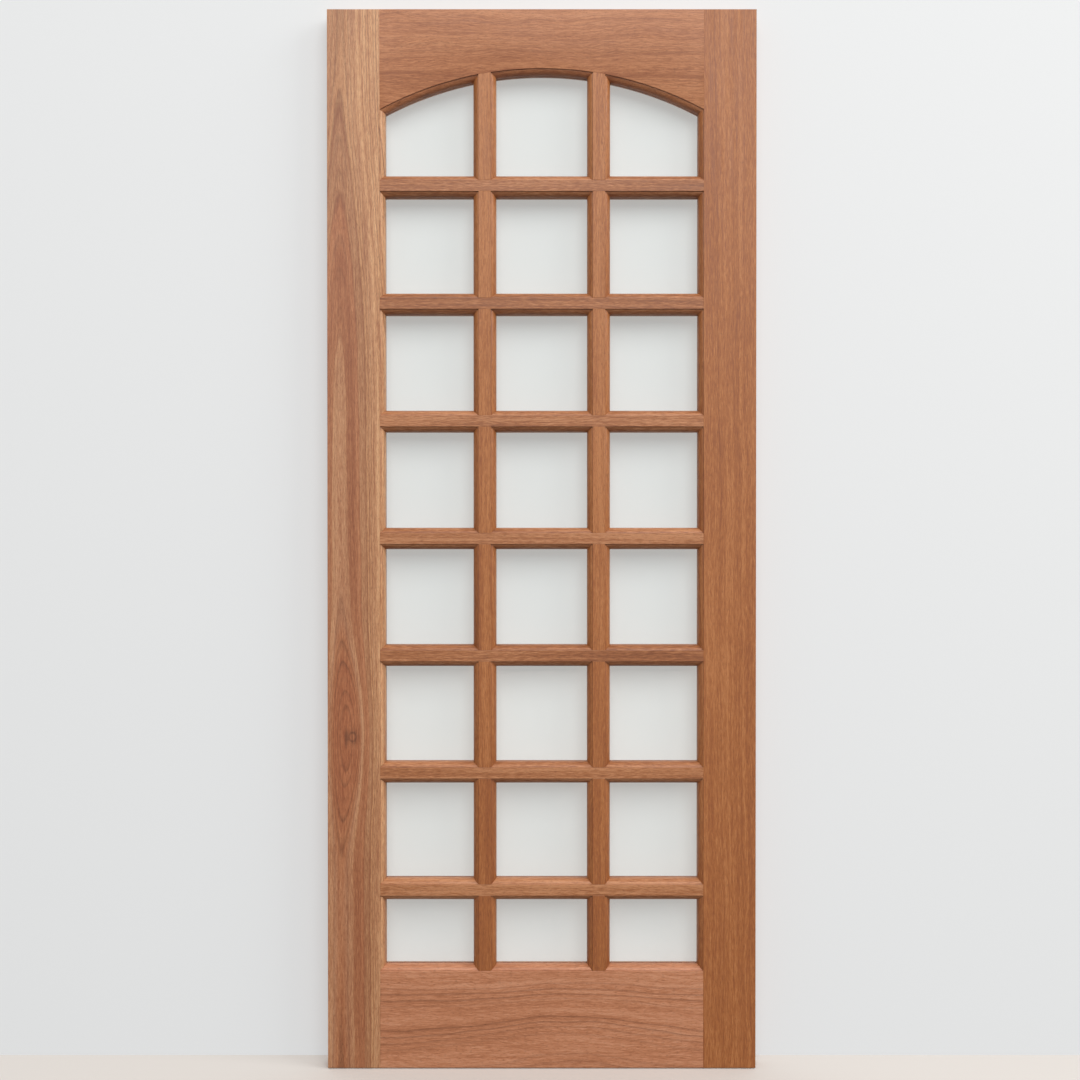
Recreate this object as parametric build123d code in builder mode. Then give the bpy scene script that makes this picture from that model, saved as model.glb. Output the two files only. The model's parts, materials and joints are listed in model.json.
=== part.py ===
from build123d import *
import os
from math import sqrt

# A glazed timber door leaf: two stiles, an arched top rail, a deep bottom rail,
# and twenty-four panes held between moulded bars, with glazing beads at the back.
#
# X runs across the leaf from its hinge edge, Y from the front face to the back, and
# Z up from the bottom edge. The origin is on the hinge edge, at its foot, midway
# through the thickness. All sizes are in millimetres.

# Leaf
leaf_width = 826.0
leaf_height = 2040.0
leaf_thickness = 44.0

# Stiles and rails, measured over their flat faces; the top rail at the crown of its arch
stile_width = 101.0
bottom_rail_height = 187.5
top_rail_height = 112.8
arch_rise = 78.8

# Bars, measured over their flat faces
cross_bar_width = 21.5
cross_bar_count = 7
upright_width = 24.0
upright_spacing = 220.0

# Heights of the bottom lights and, at the springing of the arch, of the top lights
bottom_light_height = 145.5
top_light_height = 135.5

# Moulding: a small step down from the flat face, then an ovolo towards the glass
moulding_width = 10.0
moulding_depth = 14.0
quirk_width = 1.8
quirk_depth = 3.0
ovolo_bulge = 1.8

# Glass and the beads that hold it
glass_thickness = 4.0
glass_clearance = 2.0
bead_clearance = 0.3
bead_mitre_gap = 0.4

# Mortise and tenon joints
tenon_thickness = 14.0
rail_tenon_length = 60.0
rail_tenon_shoulder = 20.0
bar_tenon_length = 30.0
upright_tenon_length = 7.0
joint_clearance = 0.2

# Planes and lines that the pieces share
half_thickness = leaf_thickness / 2
half_tenon = tenon_thickness / 2
glass_depth = half_thickness - glass_thickness / 2
frame_left = stile_width
frame_right = leaf_width - stile_width
middle_x = leaf_width / 2
upright_centres = [middle_x - upright_spacing / 2, middle_x + upright_spacing / 2]

# The arch on the underside of the top rail
springing_z = leaf_height - top_rail_height - arch_rise
span = frame_right - frame_left
arch_radius = (span**2 / 4 + arch_rise**2) / (2 * arch_rise)
arch_centre = Vector(middle_x, 0, springing_z + arch_rise - arch_radius)

# The cross bars from the highest down, evenly spaced between the top and bottom lights
highest_bar_z = springing_z - top_light_height - cross_bar_width / 2
lowest_bar_z = bottom_rail_height + bottom_light_height + cross_bar_width / 2
bar_pitch = (highest_bar_z - lowest_bar_z) / (cross_bar_count - 1)
bar_centres = [highest_bar_z - bar_pitch * i for i in range(cross_bar_count)]
bar_tops = [z + cross_bar_width / 2 for z in bar_centres]
bar_bottoms = [z - cross_bar_width / 2 for z in bar_centres]

# The lights between the flat faces: rows from the top down, columns from left to right
row_bottoms = bar_tops + [bottom_rail_height]
row_tops = [springing_z] + bar_bottoms
column_lefts = [frame_left] + [x + upright_width / 2 for x in upright_centres]
column_rights = [x - upright_width / 2 for x in upright_centres] + [frame_right]
column_names = ["left", "middle", "right"]
rows = range(len(row_bottoms))
last_row = rows[-1]
columns = range(len(column_names))

# Sides of a light, anticlockwise as seen from the front, and the way from each into it
FRONT = Vector(0, -1, 0)
BACK = Vector(0, 1, 0)
SIDES = ["bottom", "right", "top", "left"]
INWARD = {
    "bottom": Vector(0, 0, 1),
    "right": Vector(-1, 0, 0),
    "top": Vector(0, 0, -1),
    "left": Vector(1, 0, 0),
}

os.makedirs("parts", exist_ok=True)


def arch_height(x):
    """Height of the arch at a distance across the leaf."""
    return arch_centre.Z + sqrt(arch_radius**2 - (x - middle_x) ** 2)


def light_corners(row, column):
    """Corners of a light, anticlockwise from its bottom left as seen from the front."""
    left = column_lefts[column]
    right = column_rights[column]
    top_left = arch_height(left) if row == 0 else row_tops[row]
    top_right = arch_height(right) if row == 0 else row_tops[row]
    return [
        Vector(left, 0, row_bottoms[row]),
        Vector(right, 0, row_bottoms[row]),
        Vector(right, 0, top_right),
        Vector(left, 0, top_left),
    ]


def inward_at(corner, row, side):
    """Direction from a side of a light into the light, at one of its corners."""
    if row == 0 and side == "top":
        return (arch_centre - corner).normalized()
    return INWARD[side]


def moulding_strip(row, column, side, outward, clearance=0.0, mitre_gap=0.0):
    """The moulding along one side of a light, on the front or the back, with mitred ends."""
    corners = light_corners(row, column)
    index = SIDES.index(side)
    following = (index + 1) % len(SIDES)
    ends = [corners[index], corners[following]]
    neighbours = [SIDES[index - 1], SIDES[following]]
    if outward == BACK:
        ends.reverse()
        neighbours.reverse()
    start, end = ends
    inward = inward_at(start, row, side)
    section_plane = Plane(
        start + outward * half_thickness, x_dir=inward, z_dir=inward.cross(outward)
    )

    with BuildPart() as strip:
        with BuildSketch(section_plane):
            with BuildLine():
                SagittaArc(
                    (quirk_width, -quirk_depth),
                    (moulding_width, -moulding_depth),
                    ovolo_bulge,
                )
                Polyline(
                    (moulding_width, -moulding_depth),
                    (moulding_width, -glass_depth),
                    (clearance, -glass_depth),
                    (clearance, -quirk_depth),
                    (quirk_width, -quirk_depth),
                )
            make_face()
        if row == 0 and side == "top":
            arc_angle = inward.get_angle(inward_at(end, row, side))
            revolve(axis=Axis(arch_centre, outward), revolution_arc=arc_angle)
        else:
            extrude(amount=(end - start).length)
        for corner, neighbour, sign in zip(ends, neighbours, [1, -1]):
            here = inward_at(corner, row, side)
            mitre_line = (here + inward_at(corner, row, neighbour)).normalized()
            along = here.cross(outward) * sign
            normal = (along - mitre_line * along.dot(mitre_line)).normalized()
            mitre = Plane(corner + normal * (mitre_gap / 2), z_dir=normal)
            split(bisect_by=mitre, keep=Keep.TOP)
    return strip.part


def tenon_blocks(low, high, length, grow=0.0):
    """Tenons at both ends of a rail or bar, or their mortises when grown by a clearance."""
    with BuildPart() as blocks:
        with BuildSketch(Plane.XZ):
            for shoulder, sign in [(frame_left, -1), (frame_right, 1)]:
                with Locations((shoulder + sign * (length + grow) / 2, (low + high) / 2)):
                    Rectangle(length + grow, high - low + 2 * grow)
        extrude(amount=half_tenon + grow, both=True)
    return blocks.part


def upright_sockets(low, high):
    """The sockets between two heights that take the tenons of both uprights."""
    with BuildPart() as sockets:
        with BuildSketch(Plane.XZ):
            for x in upright_centres:
                with Locations((x, (low + high) / 2)):
                    Rectangle(upright_width, high - low)
        extrude(amount=half_tenon + joint_clearance, both=True)
    return sockets.part


def write_node(builder, name):
    """Label a finished piece and write it to its own file."""
    builder.part.label = name
    export_step(builder.part, f"parts/{name}.step")


def light_strips(outward, clearance=0.0, mitre_gap=0.0):
    """Mouldings around every light; the middle rows are copies of one, set lower."""
    strips = {}
    for column in columns:
        for side in SIDES:
            for row in [0, 1, last_row]:
                strips[row, column, side] = moulding_strip(
                    row, column, side, outward, clearance, mitre_gap
                )
            for row in range(2, last_row):
                drop = Location((0, 0, row_bottoms[row] - row_bottoms[1]))
                strips[row, column, side] = strips[1, column, side].moved(drop)
    return strips


# The front mouldings are worked on the stiles, rails and bars; the beads are loose strips
front = light_strips(FRONT)
beads = light_strips(BACK, bead_clearance, bead_mitre_gap)

# Heights between which the rails and cross bars are tenoned into the stiles
bottom_tenon = (rail_tenon_shoulder, bottom_rail_height - rail_tenon_shoulder)
top_tenon = (springing_z + rail_tenon_shoulder, leaf_height - rail_tenon_shoulder)
bar_tenons = list(zip(bar_bottoms, bar_tops))
tenons = [(*bottom_tenon, rail_tenon_length), (*top_tenon, rail_tenon_length)]
tenons += [(*tenon, bar_tenon_length) for tenon in bar_tenons]
mortises = [tenon_blocks(*tenon, grow=joint_clearance) for tenon in tenons]


# Stiles, full height, mortised on their inner edges
def make_stile(name, outer_x, inner_x, column, side):
    with BuildPart() as stile:
        with BuildSketch(Plane.XZ):
            with Locations(((outer_x + inner_x) / 2, leaf_height / 2)):
                Rectangle(stile_width, leaf_height)
        extrude(amount=half_thickness, both=True)
        add(mortises, mode=Mode.SUBTRACT)
        add([front[row, column, side] for row in rows])
    write_node(stile, name)


make_stile("left_stile", 0, frame_left, 0, "left")
make_stile("right_stile", leaf_width, frame_right, 2, "right")


# Top rail, its underside cut to the arch
highest_socket = arch_height(upright_centres[0] + upright_width / 2) + upright_tenon_length
arch_sockets = upright_sockets(springing_z, highest_socket + joint_clearance)
top_rail_tenons = tenon_blocks(*top_tenon, rail_tenon_length)
with BuildPart() as top_rail:
    with BuildSketch(Plane.XZ):
        with Locations((middle_x, (springing_z + leaf_height) / 2)):
            Rectangle(span, leaf_height - springing_z)
        with Locations((middle_x, arch_centre.Z)):
            Circle(arch_radius, mode=Mode.SUBTRACT)
    extrude(amount=half_thickness, both=True)
    add(arch_sockets, mode=Mode.SUBTRACT)
    add(top_rail_tenons)
    add([front[0, column, "top"] for column in columns])
write_node(top_rail, "top_rail")


# Bottom rail, its top edge moulded under the lowest lights
socket_depth = upright_tenon_length + joint_clearance
rail_sockets = upright_sockets(bottom_rail_height - socket_depth, bottom_rail_height)
bottom_rail_tenons = tenon_blocks(*bottom_tenon, rail_tenon_length)
with BuildPart() as bottom_rail:
    with BuildSketch(Plane.XZ):
        with Locations((middle_x, bottom_rail_height / 2)):
            Rectangle(span, bottom_rail_height)
    extrude(amount=half_thickness, both=True)
    add(rail_sockets, mode=Mode.SUBTRACT)
    add(bottom_rail_tenons)
    add([front[last_row, column, "bottom"] for column in columns])
write_node(bottom_rail, "bottom_rail")


# Cross bars, whole from stile to stile, moulded above and below
def make_cross_bar(index):
    low, high = bar_tenons[index]
    bar_sockets = [
        upright_sockets(low, low + socket_depth),
        upright_sockets(high - socket_depth, high),
    ]
    bar_ends = tenon_blocks(low, high, bar_tenon_length)
    with BuildPart() as bar:
        with BuildSketch(Plane.XZ):
            with Locations((middle_x, bar_centres[index])):
                Rectangle(span, cross_bar_width)
        extrude(amount=half_thickness, both=True)
        add(bar_sockets, mode=Mode.SUBTRACT)
        add(bar_ends)
        add([front[index, column, "bottom"] for column in columns])
        add([front[index + 1, column, "top"] for column in columns])
    write_node(bar, f"cross_bar_{index + 1}")


for index in range(cross_bar_count):
    make_cross_bar(index)


# Uprights, in short lengths between the rails and cross bars
def upright_length(x, left_column, row):
    low = row_bottoms[row]
    high = leaf_height if row == 0 else row_tops[row]
    tenon_low = low - upright_tenon_length
    tenon_high = highest_socket if row == 0 else high + upright_tenon_length
    with BuildPart() as upright:
        with BuildSketch(Plane.XZ):
            with Locations((x, (low + high) / 2)):
                Rectangle(upright_width, high - low)
            if row == 0:
                with Locations((middle_x, arch_centre.Z)):
                    Circle(arch_radius, mode=Mode.INTERSECT)
        extrude(amount=half_thickness, both=True)
        with BuildSketch(Plane.XZ):
            with Locations((x, (tenon_low + tenon_high) / 2)):
                Rectangle(upright_width, tenon_high - tenon_low)
        extrude(amount=half_tenon, both=True)
        add([front[row, left_column, "right"], front[row, left_column + 1, "left"]])
    return upright.part


def make_uprights(name, x, left_column):
    lengths = [upright_length(x, left_column, row) for row in rows]
    with BuildPart() as uprights:
        add(lengths)
    write_node(uprights, name)


make_uprights("left_uprights", upright_centres[0], 0)
make_uprights("right_uprights", upright_centres[1], 1)


# Panes, smaller than their rebates by the clearance all round
def make_pane(row, column):
    corners = light_corners(row, column)
    flat = [(corner.X, corner.Z) for corner in corners]
    middle = (flat[0][0] + flat[1][0]) / 2
    with BuildPart() as pane:
        with BuildSketch(Plane.XZ):
            with BuildLine():
                Polyline(flat[3], flat[0], flat[1], flat[2])
                if row == 0:
                    ThreePointArc(flat[2], (middle, arch_height(middle)), flat[3])
                else:
                    Line(flat[2], flat[3])
            make_face()
            offset(amount=-glass_clearance, kind=Kind.INTERSECTION)
        extrude(amount=glass_thickness / 2, both=True)
    write_node(pane, f"pane_row_{row + 1}_{column_names[column]}")


for row in rows:
    for column in columns:
        make_pane(row, column)

# Glazing beads, four round the back of each pane
for row in rows:
    with BuildPart() as row_beads:
        add([beads[row, column, side] for column in columns for side in SIDES])
    write_node(row_beads, f"beads_row_{row + 1}")
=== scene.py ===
# %% [markdown]
# # A glazed door leaf in red-brown hardwood
#
# The leaf comes in as a fixed frame of solids at real size: two stiles, an arched top rail, a
# deep bottom rail, seven cross bars, two lines of short uprights, twenty-four panes and the
# beads behind them. Blender gives every piece its eased edges, its grain and its finish. All
# lengths in the frame are metres, and the box that holds the leaf is kept and gives its size and middle.

# %% Load the frame
import json
import math

import bmesh
import bpy
import numpy as np
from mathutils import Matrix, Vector


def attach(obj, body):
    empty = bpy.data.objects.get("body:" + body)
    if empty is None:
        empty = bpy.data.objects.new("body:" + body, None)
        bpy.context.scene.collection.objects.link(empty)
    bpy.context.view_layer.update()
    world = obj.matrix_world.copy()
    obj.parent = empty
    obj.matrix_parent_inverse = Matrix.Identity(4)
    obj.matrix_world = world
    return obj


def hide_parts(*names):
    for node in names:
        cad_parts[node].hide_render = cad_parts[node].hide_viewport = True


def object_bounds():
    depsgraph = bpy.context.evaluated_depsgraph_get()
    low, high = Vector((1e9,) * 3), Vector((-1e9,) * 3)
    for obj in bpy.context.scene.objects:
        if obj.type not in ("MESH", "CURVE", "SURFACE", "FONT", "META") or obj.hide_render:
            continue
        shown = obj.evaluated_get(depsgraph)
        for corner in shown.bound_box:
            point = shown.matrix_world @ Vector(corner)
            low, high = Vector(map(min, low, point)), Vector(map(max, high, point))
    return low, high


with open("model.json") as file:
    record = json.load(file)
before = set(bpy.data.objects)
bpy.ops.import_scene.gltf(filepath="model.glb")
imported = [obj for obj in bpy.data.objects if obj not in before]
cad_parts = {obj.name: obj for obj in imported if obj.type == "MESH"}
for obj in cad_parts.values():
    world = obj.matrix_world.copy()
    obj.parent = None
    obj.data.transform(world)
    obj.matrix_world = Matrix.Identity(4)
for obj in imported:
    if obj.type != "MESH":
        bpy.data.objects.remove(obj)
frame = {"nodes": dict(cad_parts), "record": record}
cad_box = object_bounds()
low, high = (Vector(corner) for corner in cad_box)
leaf_width, leaf_thickness, leaf_height = high - low
middle = (low + high) / 2
print("leaf", [round(side, 3) for side in (leaf_width, leaf_thickness, leaf_height)], "m")

# %% [markdown]
# ## Millimetres and colours
#
# Joiners measure in millimetres, so sizes below are written that way. Colours are written as
# the hex values that a screen shows. Blender computes light in linear values, so one function
# converts them.

# %% Units and colours
MM = 0.001


def linear(hex_colour):
    """An sRGB hex colour as linear red, green, blue and alpha."""
    channels = [int(hex_colour[i : i + 2], 16) / 255 for i in (1, 3, 5)]
    return [c / 12.92 if c <= 0.04045 else ((c + 0.055) / 1.055) ** 2.4 for c in channels] + [1.0]


print("mid brown in linear values", [round(c, 3) for c in linear("#A2653E")])

# %% [markdown]
# ## One helper for every node
#
# A material is a graph of nodes. Each one is added the same way: choose its kind, set its
# options, then fill its sockets. A socket of another node is linked, anything else is a constant.


# %% Node helper
def put(tree, kind, sockets=None, **settings):
    """Add a node with its settings, and link or fill its input sockets."""
    made = tree.nodes.new(kind)
    for key, value in settings.items():
        setattr(made, key, value)
    for socket, source in (sockets or {}).items():
        if isinstance(source, bpy.types.NodeSocket):
            tree.links.new(source, made.inputs[socket])
        else:
            made.inputs[socket].default_value = source
    return made


# %% [markdown]
# ## Eased edges
#
# No planed door has knife edges: sandpaper takes about half a millimetre off every arris, and
# that thin round catches light along the bars and shows each joint as a fine line. A Bevel
# modifier could do it, but a bevel in bmesh lets the script choose only the outward edges. A
# copy of each solid is welded, its flat triangles are merged into whole faces, and its arrises
# are rounded. The inner corners are marked for painted shade: the finish later darkens them as if in
# shadow.

# %% Ease the edges of a solid
EASED = 0.5 * MM
CREASE = math.radians(20)
FLAT = math.radians(0.5)
UNDER_FACE = leaf_thickness / 2 - 1 * MM


def eased_copy(node_name, finish):
    """A copy of a node with its outward edges rounded, in the node's place."""
    shape = bmesh.new()
    shape.from_mesh(frame["nodes"][node_name].data)
    bmesh.ops.remove_doubles(shape, verts=shape.verts, dist=0.001 * MM)
    bmesh.ops.dissolve_limit(shape, angle_limit=FLAT, verts=shape.verts, edges=shape.edges)
    arrises = [edge for edge in shape.edges if edge.calc_face_angle_signed(0) > CREASE]
    bmesh.ops.bevel(
        shape,
        geom=arrises,
        offset=EASED,
        offset_type="OFFSET",
        segments=2,
        profile=0.5,
        affect="EDGES",
        clamp_overlap=True,
    )
    # A mask for painted shade: inner corners away from the front and back faces are darkened later, as
    # shadow would darken them.
    painted_hollow_shade = shape.verts.layers.float.new("painted_hollow_shade")
    for edge in shape.edges:
        if edge.calc_face_angle_signed(0) < -CREASE:
            for corner in edge.verts:
                corner[painted_hollow_shade] = float(abs(corner.co.y) < UNDER_FACE)
    mesh = bpy.data.meshes.new(f"{node_name}_eased")
    shape.to_mesh(mesh)
    shape.free()
    mesh.shade_smooth()
    mesh.set_sharp_from_angle(angle=CREASE)
    mesh.materials.append(finish)
    piece = bpy.data.objects.new(f"{node_name}_eased", mesh)
    bpy.context.scene.collection.objects.link(piece)
    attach(piece, "root")
    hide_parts(node_name)
    return piece


# %% [markdown]
# ## Board coordinates
#
# Wood is a solid pattern: rings round a pith, cut through by the saw. For the grain to run the
# right way, every piece needs coordinates of its own board: along the grain, across the face and
# into the depth. Texture coordinates of the object would run one way for all, so they are kept on
# the mesh as an attribute, in millimetres. Loose lengths in one piece each get a place of their
# own in the tree, and a tone, because no two boards are alike. The paler lengths go to the top.


# %% Board coordinates and tones
def loose_lengths(mesh):
    """Label each vertex with the loose length of the mesh that it belongs to."""
    label = list(range(len(mesh.vertices)))

    def first(i):
        while label[i] != i:
            label[i] = label[label[i]]
            i = label[i]
        return i

    for edge in mesh.edges:
        a, b = (first(i) for i in edge.vertices)
        label[max(a, b)] = min(a, b)
    return np.array([first(i) for i in range(len(label))])


def lay_out_board(piece, seed, shift_mm):
    """Write the board coordinates and the tone of each loose length of a piece."""
    mesh = piece.data
    points = np.array([vertex.co for vertex in mesh.vertices]) / MM
    labels = loose_lengths(mesh)
    board = np.zeros_like(points)
    tone = np.zeros(len(points))
    draw = np.random.default_rng(seed)
    lengths = sorted(np.unique(labels), key=lambda label: points[labels == label, 2].mean())
    tones = np.sort(draw.uniform(0, 1, len(lengths))) if shift_mm else np.full(len(lengths), 0.5)
    for label, own_tone in zip(lengths, tones):
        own = labels == label
        reach = np.ptp(points[own], axis=0)
        order = [2, 0, 1] if reach[2] > reach[0] else [0, 2, 1]
        board[own] = points[own][:, order] + draw.uniform(-1, 1, 3) * shift_mm
        tone[own] = own_tone
    mesh.attributes.new("board", "FLOAT_VECTOR", "POINT").data.foreach_set("vector", board.ravel())
    mesh.attributes.new("tone", "FLOAT", "POINT").data.foreach_set("value", tone)


# %% [markdown]
# ## Planed meranti
#
# The wood looks like meranti, a red-brown hardwood, planed and sanded and only thinly oiled. An
# image would repeat and stop at the edges. A solid pattern of noise and rings runs on round every
# edge, so the finish is built from one, a function for each thing that shows. The first is the
# grain, which is never quite straight: it sways a few millimetres from side to side.

# %% Swaying grain
SWAY_LENGTH = 220
SWAY_WIDTH = 50


def swayed_grain(tree, board, reach):
    """Board coordinates that sway across the board by up to a reach in millimetres."""
    size = (1 / SWAY_LENGTH, 1 / SWAY_WIDTH, 1 / SWAY_WIDTH)
    slow = put(tree, "ShaderNodeMapping", {"Vector": board, "Scale": size})
    sway = put(tree, "ShaderNodeTexNoise", {"Vector": slow.outputs[0], "Scale": 1, "Detail": 2})
    across_only = put(
        tree,
        "ShaderNodeMapRange",
        {"Value": sway.outputs[0], "To Min": -reach, "To Max": reach},
        clamp=False,
    )
    sideways = put(tree, "ShaderNodeCombineXYZ", {"Y": across_only.outputs[0]})
    swayed = put(tree, "ShaderNodeVectorMath", {0: board, 1: sideways.outputs[0]}, operation="ADD")
    return swayed.outputs[0]


# %% [markdown]
# ## Rings round the pith
#
# A tree grows in rings round its pith. They show as flames where the saw passed near the pith, and
# as straight bands where it passed far from it. A wave texture only draws even rings round a
# straight line. Here the distance from the pith is worked out, with the taper of the tree in it,
# so that the rings can also bend away or swell round a branch.


# %% Distance from the pith
def from_the_pith(tree, board, grain, cut):
    """Distance from the pith in millimetres, for a board that was cut as stated."""
    spread = put(tree, "ShaderNodeVectorMath", {0: grain, 1: (0, *cut["pith"])}, operation="SUBTRACT")
    flat = put(tree, "ShaderNodeVectorMath", {0: spread.outputs[0], 1: (0, 1, 1)}, operation="MULTIPLY")
    radius = put(tree, "ShaderNodeVectorMath", {0: flat.outputs[0]}, operation="LENGTH")
    along = put(tree, "ShaderNodeSeparateXYZ", {"Vector": grain}).outputs["X"]
    leaning = put(
        tree,
        "ShaderNodeMath",
        {0: along, 1: cut["taper"], 2: radius.outputs["Value"]},
        operation="MULTIPLY_ADD",
    ).outputs[0]

    # The pith may bend out of the board over a stretch of its length
    if "bend" in cut:
        start, end, rise = cut["bend"]
        bend = put(
            tree,
            "ShaderNodeMapRange",
            {"Value": along, "From Min": start, "From Max": end, "To Max": rise},
            interpolation_type="SMOOTHSTEP",
        )
        leaning = put(tree, "ShaderNodeMath", {0: leaning, 1: bend.outputs[0]}, operation="ADD").outputs[0]

    # A branch or a bend swells the rings in one place, as a smooth hill
    if "swelling" in cut:
        place, size, height = cut["swelling"]
        away = put(tree, "ShaderNodeVectorMath", {0: board, 1: (*place, 0)}, operation="SUBTRACT")
        share = put(
            tree,
            "ShaderNodeVectorMath",
            {0: away.outputs[0], 1: (1 / size[0], 1 / size[1], 0)},
            operation="MULTIPLY",
        ).outputs[0]
        squared = put(tree, "ShaderNodeVectorMath", {0: share, 1: share}, operation="DOT_PRODUCT")
        hill = put(
            tree, "ShaderNodeMath", {0: math.exp(-0.5), 1: squared.outputs["Value"]}, operation="POWER"
        )
        leaning = put(
            tree,
            "ShaderNodeMath",
            {0: hill.outputs[0], 1: -height, 2: leaning},
            operation="MULTIPLY_ADD",
        ).outputs[0]
    return leaning


# %% [markdown]
# ## Late wood
#
# Rings differ in tone, and some end in a thin dark line of late wood. Noise along the distance from
# the pith gives each ring its tone and chooses the rings that end dark. A colour ramp over the width
# of one ring draws the line.

# %% Ring tones and lines
LINE_STARTS = 0.5
LINE_DARKEST = 0.86


def ring_marks(tree, leaning, cut):
    """The tone of each ring, and how dark its line of late wood is."""
    ring = put(tree, "ShaderNodeMath", {0: leaning, 1: cut["ring"]}, operation="DIVIDE").outputs[0]
    ring_tone = put(
        tree, "ShaderNodeTexNoise", {"W": ring, "Scale": 0.7, "Detail": 2}, noise_dimensions="1D"
    ).outputs[0]
    within = put(tree, "ShaderNodeMath", {0: ring}, operation="FRACT")
    edge = put(tree, "ShaderNodeValToRGB", {"Fac": within.outputs[0]})
    edge.color_ramp.elements[0].position = LINE_STARTS
    edge.color_ramp.elements[1].position = LINE_DARKEST
    edge.color_ramp.elements.new(1.0).color = (0, 0, 0, 1)
    which = put(
        tree, "ShaderNodeTexNoise", {"W": ring, "Scale": 0.29, "Detail": 1}, noise_dimensions="1D"
    )
    chosen = put(
        tree,
        "ShaderNodeMapRange",
        {"Value": which.outputs[0], "From Min": 0.35, "From Max": 0.7, "To Max": cut["lines"]},
    )
    late_wood = put(
        tree, "ShaderNodeMath", {0: edge.outputs[0], 1: chosen.outputs[0]}, operation="MULTIPLY"
    ).outputs[0]
    return ring_tone, late_wood


# %% [markdown]
# ## Fibres, streaks and pores
#
# Fibres and short dark pores cover every face. Long soft streaks and broad bands show where the grain
# runs in and out of it. Each is noise, stretched to a length and a width in millimetres. Real pores
# are about a third of the size drawn here and fibres are finer still, but then none would show.

# %% Fine grain
FEATURES = (("fibre", 16, 1.2), ("streak", 140, 3.2), ("band", 500, 26.0), ("pore", 7, 1.0))
PORE_STARTS = 0.54
PORE_OPEN = 0.72


def fine_grain(tree, grain):
    """The pattern of each feature along and across the grain."""
    pattern = {}
    for feature, length, width in FEATURES:
        size = put(
            tree, "ShaderNodeMapping", {"Vector": grain, "Scale": (1 / length, 1 / width, 1 / width)}
        )
        noise = put(tree, "ShaderNodeTexNoise", {"Vector": size.outputs[0], "Scale": 1, "Detail": 3})
        pattern[feature] = noise.outputs[0]
    pattern["pore"] = put(
        tree,
        "ShaderNodeMapRange",
        {"Value": pattern["pore"], "From Min": PORE_STARTS, "From Max": PORE_OPEN},
    ).outputs[0]
    return pattern


# %% [markdown]
# ## Heart and knot
#
# Heartwood is redder than the sapwood outside it, in rings of its own. A knot is the foot of a branch
# with a dark ring of bark. Painting them would need an image. Here both follow from a distance: the
# heart from the distance to the pith, the knot from the distance to its own middle.

# %% Heart and knot
KNOT_STRETCH = 0.8
BARK_SHADES = ((0.22, 0.12), (0.4, 0.62), (0.55, 0.25))


def heart_tinted(tree, leaning, heart, colour):
    """The colour of the wood, tinted by how far from the pith it grew."""
    innermost, outermost = heart[0][0], heart[-1][0]
    place_in_heart = put(
        tree,
        "ShaderNodeMapRange",
        {"Value": leaning, "From Min": innermost, "From Max": outermost},
    )
    tints = put(tree, "ShaderNodeValToRGB", {"Fac": place_in_heart.outputs[0]})
    stops = tints.color_ramp.elements
    stops.remove(stops[1])
    for radius_mm, tint in heart:
        stops.new((radius_mm - innermost) / (outermost - innermost)).color = linear(tint)
    stops.remove(stops[0])
    return put(
        tree,
        "ShaderNodeMix",
        {"Factor": 1.0, 6: colour, 7: tints.outputs[0]},
        data_type="RGBA",
        blend_type="MULTIPLY",
    ).outputs[2]


def knot_shade(tree, board, knot):
    """How much a knot and its ring of bark darken the wood."""
    place, reach = knot
    to_knot = put(tree, "ShaderNodeVectorMath", {0: board, 1: (*place, 0)}, operation="SUBTRACT")
    squeezed = put(
        tree,
        "ShaderNodeVectorMath",
        {0: to_knot.outputs[0], 1: (KNOT_STRETCH / reach, 1 / reach, 0)},
        operation="MULTIPLY",
    )
    distance = put(tree, "ShaderNodeVectorMath", {0: squeezed.outputs[0]}, operation="LENGTH")
    bark = put(tree, "ShaderNodeValToRGB", {"Fac": distance.outputs["Value"]})
    bark.color_ramp.elements[0].color = (0.3, 0.3, 0.3, 1)
    bark.color_ramp.elements[1].color = (0, 0, 0, 1)
    for position, shade in BARK_SHADES:
        bark.color_ramp.elements.new(position).color = (shade, shade, shade, 1)
    return bark.outputs[0]


# %% [markdown]
# ## The finish of a board
#
# Fibres, bands and rings choose a colour between dark and light. Late wood, pores and a knot then
# stain it towards a deep brown, and the hollows of the mouldings are darkened towards it too, as painted
# shade. The plane and the paper leave a satin face, a little duller where the grain is open, and the pores
# are left as shallow dents.

# %% Hardwood finish
# Deep brown serves both the stain and the painted shade in the hollows, and the most that stain and
# painted shade together darken any spot is capped.
DEEP_BROWN = "#4A2410"
MOST_STAIN_AND_SHADE = 0.8
SATIN = 0.4
DULL = 0.52
PORE_DEPTH = 0.1 * MM


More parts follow.
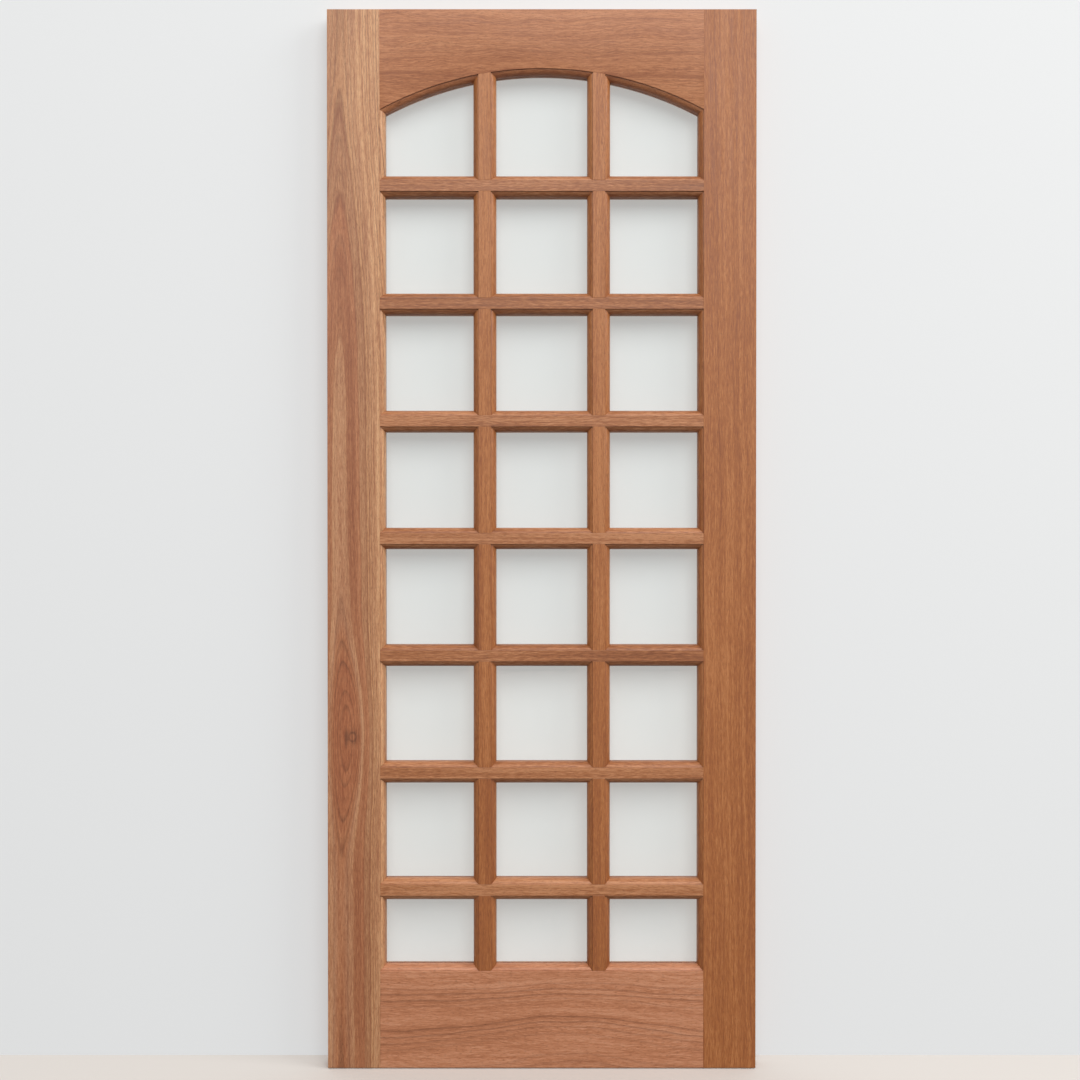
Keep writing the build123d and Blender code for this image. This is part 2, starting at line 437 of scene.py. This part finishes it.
def planed_meranti(name, light, mid, dark, cut):
    """Red-brown hardwood, planed to satin; cut says how the saw met the rings, in millimetres."""
    finish = bpy.data.materials.new(name)
    finish.use_nodes = True
    tree = finish.node_tree
    tree.nodes.clear()
    board = put(tree, "ShaderNodeAttribute", attribute_name="board").outputs["Vector"]
    tone = put(tree, "ShaderNodeAttribute", attribute_name="tone").outputs["Fac"]
    # Painted shade: how much the inner corners are darkened as if in shadow
    painted_hollow_shade = put(tree, "ShaderNodeAttribute", attribute_name="painted_hollow_shade").outputs["Fac"]

    grain = swayed_grain(tree, board, cut["sway"])
    leaning = from_the_pith(tree, board, grain, cut)
    ring_tone, late_wood = ring_marks(tree, leaning, cut)
    pattern = fine_grain(tree, grain)
    pore = pattern["pore"]

    # Fibres, streaks, bands, rings and the tone of the board choose a colour between dark and light
    shares = (
        (pattern["fibre"], 2.2),
        (pattern["streak"], 0.9),
        (pattern["band"], 1.1),
        (ring_tone, 0.7),
        (tone, 0.45),
    )
    level = 0.5 - sum(weight for _, weight in shares) / 2
    for source, weight in shares:
        level = put(
            tree, "ShaderNodeMath", {0: source, 1: weight, 2: level}, operation="MULTIPLY_ADD"
        ).outputs[0]
    ramp = put(tree, "ShaderNodeValToRGB", {"Fac": level})
    ramp.color_ramp.elements[0].color = linear(dark)
    ramp.color_ramp.elements[1].color = linear(light)
    ramp.color_ramp.elements.new(0.5).color = linear(mid)
    colour = ramp.outputs[0]
    if "heart" in cut:
        colour = heart_tinted(tree, leaning, cut["heart"], colour)

    # Late wood, pores and a knot stain it, and the hollows get painted shade
    darkening = late_wood
    for source, weight in ((pore, 0.45), (painted_hollow_shade, 0.3)):
        darkening = put(
            tree, "ShaderNodeMath", {0: source, 1: weight, 2: darkening}, operation="MULTIPLY_ADD"
        ).outputs[0]
    if "knot" in cut:
        knot = knot_shade(tree, board, cut["knot"])
        darkening = put(tree, "ShaderNodeMath", {0: knot, 1: darkening}, operation="ADD").outputs[0]
    limited = put(tree, "ShaderNodeMath", {0: darkening, 1: MOST_STAIN_AND_SHADE}, operation="MINIMUM")
    stained_and_shaded = put(
        tree,
        "ShaderNodeMix",
        {"Factor": limited.outputs[0], 6: colour, 7: linear(DEEP_BROWN)},
        data_type="RGBA",
    )

    # Satin from the plane and the paper, duller where the grain is open
    sheen = put(
        tree,
        "ShaderNodeMapRange",
        {"Value": pattern["streak"], "From Min": 0.3, "From Max": 0.7, "To Min": SATIN, "To Max": DULL},
    )
    relief = put(
        tree,
        "ShaderNodeBump",
        {"Strength": 0.2, "Distance": PORE_DEPTH, "Height": pore},
        invert=True,
    )
    wood = put(
        tree,
        "ShaderNodeBsdfPrincipled",
        {
            "Base Color": stained_and_shaded.outputs[2],
            "Roughness": sheen.outputs[0],
            "IOR": 1.5,
            "Normal": relief.outputs[0],
        },
    )
    put(tree, "ShaderNodeOutputMaterial", {"Surface": wood.outputs[0]})
    return finish


# %% [markdown]
# ## How each board was sawn
#
# The left stile was cut close to the pith: it shows flames, a red heart, pale sapwood towards the
# glass and one knot. The right stile was cut far from the pith and is straight, and the uprights
# come from the same plank. The bottom rail has one broad arch in its grain. Bars and beads are
# narrow lengths of plain straight wood. The pith is given across the face and through the
# thickness, whose middle is at 0.

# %% Boards
flame_sawn = planed_meranti(
    "flame_sawn_meranti",
    "#DFAC7F",
    "#C99266",
    "#AD734D",
    {
        "sway": 5,
        "ring": 4.3,
        "pith": (25, 3),
        "taper": 0.006,
        "bend": (1300, 2000, 30),
        "lines": 0.5,
        "swelling": ((640, 46), (105, 26), 30),
        "heart": (
            (8, "#D0AEA0"),
            (20, "#D4B4A7"),
            (26, "#DAC2B8"),
            (28, "#D8C8C8"),
            (32.7, "#EEE8EB"),
            (35, "#F6F2F4"),
            (35.6, "#CDB9B2"),
            (36.4, "#D6BEB4"),
            (43, "#CDB0A4"),
            (50.5, "#DEC6BD"),
            (52.1, "#C2ABA2"),
            (53.3, "#DDD1CC"),
            (60.5, "#DDD1CC"),
            (62.4, "#BFA79D"),
            (63.6, "#EDE5DF"),
            (77, "#EFEAEA"),
            (86, "#FFFFFF"),
        ),
        "knot": ((640, 48), 17),
    },
)
quarter_sawn = planed_meranti(
    "quarter_sawn_meranti",
    "#BA7947",
    "#A46231",
    "#8F5027",
    {"sway": 8, "ring": 5, "pith": (300, 60), "taper": 0.01, "lines": 0.12},
)
top_rail_wood = planed_meranti(
    "ribbon_grained_meranti",
    "#C6865B",
    "#B17148",
    "#985A36",
    {"sway": 20, "ring": 9, "pith": (1500, 60), "taper": 0.02, "lines": 0.16},
)
bottom_rail_wood = planed_meranti(
    "crown_cut_meranti",
    "#D09370",
    "#BF7E59",
    "#A76946",
    {
        "sway": 14,
        "ring": 12,
        "pith": (-500, 60),
        "taper": 0.0,
        "lines": 0.4,
        "swelling": ((462, 60), (125, 60), 38),
    },
)
bar_wood = planed_meranti(
    "straight_grained_meranti",
    "#C4885E",
    "#A5673D",
    "#814A28",
    {"sway": 5, "ring": 6, "pith": (-400, 60), "taper": 0.01, "lines": 0.15},
)
print(len(bpy.data.materials), "materials so far")

# %% [markdown]
# ## Dress the timber
#
# Stiles and rails keep their place in their board, so that the flame and the knot come out where
# they belong. Every bar, upright and bead is taken from another place in the tree. The first seed
# only says which lengths come off the pile first.

# %% Timber pieces
FIRST_SEED = 363
boards = {
    "left_stile": flame_sawn,
    "right_stile": quarter_sawn,
    "top_rail": top_rail_wood,
    "bottom_rail": bottom_rail_wood,
}
timber_rows = [row for row in frame["record"]["subparts"] if row["material_slot"] != "pane_glass"]
for seed, row in enumerate(timber_rows, FIRST_SEED):
    own_board = boards.get(row["node"])
    short_wood = quarter_sawn if "uprights" in row["node"] else bar_wood
    piece = eased_copy(row["node"], own_board or short_wood)
    lay_out_board(piece, seed, 0 if own_board else 400)
print(len(timber_rows), "timber pieces eased and grained")

# %% [markdown]
# ## Float glass
#
# The panes are clear float glass: flat, very smooth, faintly green, with a film of dust that only
# shows as a slightly softer reflection. Glass stops lamp light in a path tracer unless it is told
# otherwise, so rays on their way to a lamp, and rays that left a matt face, pass straight through.

# %% Clear glass
FILM_SIZE = 90 * MM
DUSTIEST = 0.05
glass = bpy.data.materials.new("clear_float_glass")
glass.use_nodes = True
tree = glass.node_tree
tree.nodes.clear()
place = put(tree, "ShaderNodeTexCoord").outputs["Object"]
film = put(tree, "ShaderNodeTexNoise", {"Vector": place, "Scale": 1 / FILM_SIZE, "Detail": 3})
dust = put(
    tree,
    "ShaderNodeMapRange",
    {"Value": film.outputs[0], "From Min": 0.4, "From Max": 0.8, "To Max": DUSTIEST},
)
draw_lines = put(tree, "ShaderNodeBump", {"Strength": 0.05, "Distance": 1 * MM, "Height": film.outputs[0]})
clear = put(
    tree,
    "ShaderNodeBsdfPrincipled",
    {
        "Base Color": linear("#FAFDFB"),
        "Roughness": dust.outputs[0],
        "IOR": 1.52,
        "Transmission Weight": 1.0,
        "Normal": draw_lines.outputs[0],
    },
)
path = put(tree, "ShaderNodeLightPath")
straight = put(
    tree,
    "ShaderNodeMath",
    {0: path.outputs["Is Shadow Ray"], 1: path.outputs["Is Diffuse Ray"]},
    operation="MAXIMUM",
)
through = put(tree, "ShaderNodeBsdfTransparent")
pane = put(
    tree,
    "ShaderNodeMixShader",
    {0: straight.outputs[0], 1: clear.outputs[0], 2: through.outputs[0]},
)
put(tree, "ShaderNodeOutputMaterial", {"Surface": pane.outputs[0]})
panes = [name for name in frame["nodes"] if name.startswith("pane")]
for name in panes:
    frame["nodes"][name].data.materials[0] = glass
print(len(panes), "panes glazed")

# %% [markdown]
# ## Floor and backdrop
#
# The leaf stands on a plain pale floor in front of a plain pale sheet, and a gap of 2 mm under it
# shows as a dark line. The sheet comes close to the back of the leaf at the top and stands further
# off at the foot, so the bars leave soft shadows on it. Two fifths of its brightness is its own, so
# that the shadows stay light. Seen from behind it is clear, so the back of the leaf can be looked at
# too. Neither the floor nor the sheet throws light onto the leaf, so undersides stay dark.

# %% Stage
FLOOR_REACH = 8.0
FLOOR_GAP = 2 * MM
SHEET_HEIGHT = 3.0
GAP_AT_FOOT = 22 * MM
GAP_AT_HEAD = 2 * MM
PALE = "#EEEFEF"
FLOOR_COLOUR = "#D6D0CA"
MATT_SHARE = 0.58


def stage_sheet(name, corners):
    """A flat sheet of the stage, and the empty node tree of its finish."""
    mesh = bpy.data.meshes.new(name)
    mesh.from_pydata(corners, [], [(0, 1, 2, 3)])
    sheet = bpy.data.objects.new(name, mesh)
    bpy.context.scene.collection.objects.link(sheet)
    finish = bpy.data.materials.new(f"{name}_finish")
    finish.use_nodes = True
    finish.node_tree.nodes.clear()
    mesh.materials.append(finish)
    return sheet, finish.node_tree


left, right = middle.x - FLOOR_REACH, middle.x + FLOOR_REACH
floor, tree = stage_sheet(
    "floor",
    [(x, y, low.z - FLOOR_GAP) for x, y in ((left, left), (right, left), (right, right), (left, right))],
)
matt = put(tree, "ShaderNodeBsdfDiffuse", {"Color": linear(FLOOR_COLOUR)})
put(tree, "ShaderNodeOutputMaterial", {"Surface": matt.outputs[0]})

floor.visible_diffuse = False

foot_y = high.y + GAP_AT_FOOT
top_y = foot_y - (GAP_AT_FOOT - GAP_AT_HEAD) * SHEET_HEIGHT / leaf_height
backdrop, tree = stage_sheet(
    "backdrop",
    [(left, foot_y, 0), (right, foot_y, 0), (right, top_y, SHEET_HEIGHT), (left, top_y, SHEET_HEIGHT)],
)
for ray in ("shadow", "diffuse", "glossy"):
    setattr(backdrop, f"visible_{ray}", False)
own_light = put(tree, "ShaderNodeEmission", {"Color": linear(PALE)})
matt = put(tree, "ShaderNodeBsdfDiffuse", {"Color": linear(PALE)})
front = put(tree, "ShaderNodeMixShader", {0: MATT_SHARE, 1: own_light.outputs[0], 2: matt.outputs[0]})
clear_side = put(tree, "ShaderNodeBsdfTransparent")
facing = put(tree, "ShaderNodeNewGeometry").outputs["Backfacing"]
both = put(tree, "ShaderNodeMixShader", {0: facing, 1: front.outputs[0], 2: clear_side.outputs[0]})
put(tree, "ShaderNodeOutputMaterial", {"Surface": both.outputs[0]})
print("backdrop stands off by", round(foot_y - high.y, 3), "m at the foot")

# %% [markdown]
# ## Pale studio
#
# A pale room gives about a quarter of the light on the face of the leaf, more of it from above than
# from below, and most of all from behind, where there is no lamp. An evenly pale room would leave the
# undersides too light. Views and reflections see an even room all the same, because one background
# lights the leaf and another is seen.

# %% World
BRIGHTEST_WAY = (0, 0.8, 0.6)
FILL_IN_FRONT = 0.08
FILL_BEHIND = 0.9
world = bpy.data.worlds.new("studio")
bpy.context.scene.world = world
world.use_nodes = True
tree = world.node_tree
tree.nodes.clear()
towards = put(tree, "ShaderNodeTexCoord").outputs["Generated"]
up_and_back = put(tree, "ShaderNodeVectorMath", {0: towards, 1: BRIGHTEST_WAY}, operation="DOT_PRODUCT")
strength = put(
    tree,
    "ShaderNodeMapRange",
    {
        "Value": up_and_back.outputs["Value"],
        "From Min": -1,
        "To Min": FILL_IN_FRONT,
        "To Max": FILL_BEHIND,
    },
)
fill = put(tree, "ShaderNodeBackground", {"Color": linear("#FFFFFF"), "Strength": strength.outputs[0]})
seen = put(tree, "ShaderNodeBackground", {"Color": linear(PALE)})
path = put(tree, "ShaderNodeLightPath")
shown = path.outputs["Is Camera Ray"]
for ray in ("Is Glossy Ray", "Is Transmission Ray"):
    shown = put(tree, "ShaderNodeMath", {0: shown, 1: path.outputs[ray]}, operation="MAXIMUM").outputs[0]
sky = put(tree, "ShaderNodeMixShader", {0: shown, 1: fill.outputs[0], 2: seen.outputs[0]})
put(tree, "ShaderNodeOutputWorld", {"Surface": sky.outputs[0]})

# %% [markdown]
# ## Soft light
#
# A very large softbox in front, well above the eye, gives the panes short soft shadows and lays a
# satin sheen on the upper half. It is flagged off the glass, so that no pane mirrors it. A smaller one
# on the right lifts the mouldings that face it. Each lamp's level is its share of the light that makes
# a white card look white, and its power follows from its distance.

# %% Lamps
SIDE_REACH = 7.0
SIDE_LEVEL = 0.35
SIDE_SIZE = 3.5
FRONT_REACH = 10.0
FRONT_LEVEL = 0.75
FRONT_SIZE = 8.0


def lamp(name, place, aim, level, side):
    """A square softbox at a place, turned to an aim, that gives its level to a surface facing it."""
    light = bpy.data.lights.new(name, "AREA")
    light.size = side
    reach = place - aim
    light.energy = level * math.pi**2 * reach.length_squared
    stand = bpy.data.objects.new(name, light)
    stand.location = place
    stand.rotation_euler = reach.to_track_quat("Z", "Y").to_euler()
    bpy.context.scene.collection.objects.link(stand)
    return stand


to_side = Vector((0.765, -0.37, 0.526))
to_front = Vector((0.113, -0.801, 0.588))
lamp("side_softbox", middle + SIDE_REACH * to_side, middle, SIDE_LEVEL, SIDE_SIZE)
front_softbox = lamp("front_softbox", middle + FRONT_REACH * to_front, middle, FRONT_LEVEL, FRONT_SIZE)
flagged = bpy.data.collections.new("flagged_from_the_front_softbox")
for name in panes:
    flagged.objects.link(frame["nodes"][name])
for entry in flagged.collection_objects:
    entry.light_linking.link_state = "EXCLUDE"
front_softbox.light_linking.receiver_collection = flagged
print(len(bpy.data.lights), "lamps")

# %% [markdown]
# ## Camera
#
# The leaf is seen almost square on, from about half its height. The camera is placed by how many
# millimetres a pixel of the picture covers at the front face, and by the pixel where the middle
# of the leaf comes out.

# %% Camera
IMAGE_SIDE = 1080
FOCAL_PIXELS = 1404
MM_PER_PIXEL = 1.927
MIDDLE_PIXEL = (541.75, 540.05)
PITCH = math.radians(0.45)
lens = bpy.data.cameras.new("camera")
lens.sensor_width = 36
lens.lens = lens.sensor_width * FOCAL_PIXELS / IMAGE_SIDE
distance = FOCAL_PIXELS * MM_PER_PIXEL * MM
right_of_middle, below_middle = (
    (pixel - IMAGE_SIDE / 2) * MM_PER_PIXEL * MM for pixel in MIDDLE_PIXEL
)
camera = bpy.data.objects.new("camera", lens)
camera.location = (
    middle.x - right_of_middle,
    low.y - distance,
    middle.z + below_middle + distance * math.tan(PITCH),
)
camera.rotation_euler = (math.pi / 2 - PITCH, 0, 0)
bpy.context.scene.collection.objects.link(camera)
bpy.context.scene.camera = camera
bpy.context.scene.view_settings.view_transform = "Standard"
print("camera", [round(c, 3) for c in camera.location], "lens", round(lens.lens, 1), "mm")
